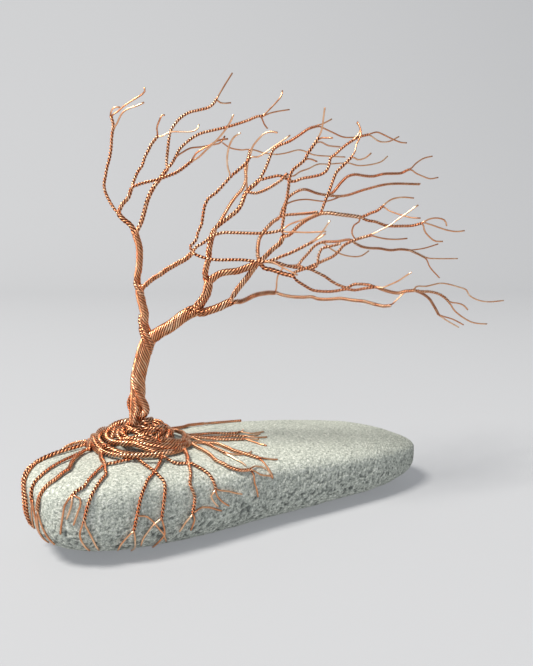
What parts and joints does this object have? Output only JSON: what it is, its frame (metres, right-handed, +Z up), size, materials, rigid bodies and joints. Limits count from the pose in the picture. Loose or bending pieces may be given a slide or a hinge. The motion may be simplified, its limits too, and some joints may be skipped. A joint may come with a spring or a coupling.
{
  "type": "wire tree sculpture",
  "caption": "Windswept tree twisted from thin copper wire, its wire roots spread over and gripping a flat oval sea pebble that is its plinth.",
  "frame": {"origin": "on the pebble's resting flat, under the middle of the pebble's length", "axes": "+X along the pebble to its thin end, which the tree leans over; +Y to the back; +Z up"},
  "size_m": [0.1306, 0.0559, 0.1114],
  "materials": {
    "copper_wire": "bare drawn copper wire, bright with darker toning in the lays",
    "sea_pebble": "dry matt sandstone, fine grey-green speckle, pitted low on the sides"
  },
  "bodies": {
    "root": {"pebble": "sea_pebble", "trunk": "copper_wire", "left_stem": "copper_wire", "right_limb": "copper_wire", "left_stem_top": "copper_wire", "left_fork": "copper_wire", "left_bough": "copper_wire", "left_spray": "copper_wire", "left_front_spray": "copper_wire", "tall_bough": "copper_wire", "top_spray": "copper_wire", "tall_spray": "copper_wire", "front_bough": "copper_wire", "front_spray": "copper_wire", "front_long_twig": "copper_wire", "front_low_twig": "copper_wire", "right_bough": "copper_wire", "rising_back_spray": "copper_wire", "rising_spray": "copper_wire", "upper_spray": "copper_wire", "upper_long_spray": "copper_wire", "leaning_bough": "copper_wire", "dark_bough": "copper_wire", "dark_spray": "copper_wire", "middle_bough": "copper_wire", "middle_rising_spray": "copper_wire", "middle_back_spray": "copper_wire", "middle_spray": "copper_wire", "middle_lower_twig": "copper_wire", "arched_bough": "copper_wire", "arched_spray": "copper_wire", "far_spray": "copper_wire", "low_bough": "copper_wire", "low_middle_spray": "copper_wire", "low_tip_spray": "copper_wire", "long_spray": "copper_wire", "back_bough": "copper_wire", "lowest_bough": "copper_wire", "link_bough": "copper_wire", "lowest_limb": "copper_wire", "lowest_spray": "copper_wire", "root_collar": "copper_wire", "root_left_end": "copper_wire", "root_left": "copper_wire", "root_left_front": "copper_wire", "root_front_left": "copper_wire", "root_front": "copper_wire", "root_front_middle": "copper_wire", "root_front_right": "copper_wire", "root_right_front": "copper_wire", "root_right": "copper_wire", "root_right_low": "copper_wire", "root_right_end": "copper_wire", "root_back_right": "copper_wire", "root_back": "copper_wire", "root_back_left": "copper_wire", "root_left_back": "copper_wire"}
  },
  "joints": []
}
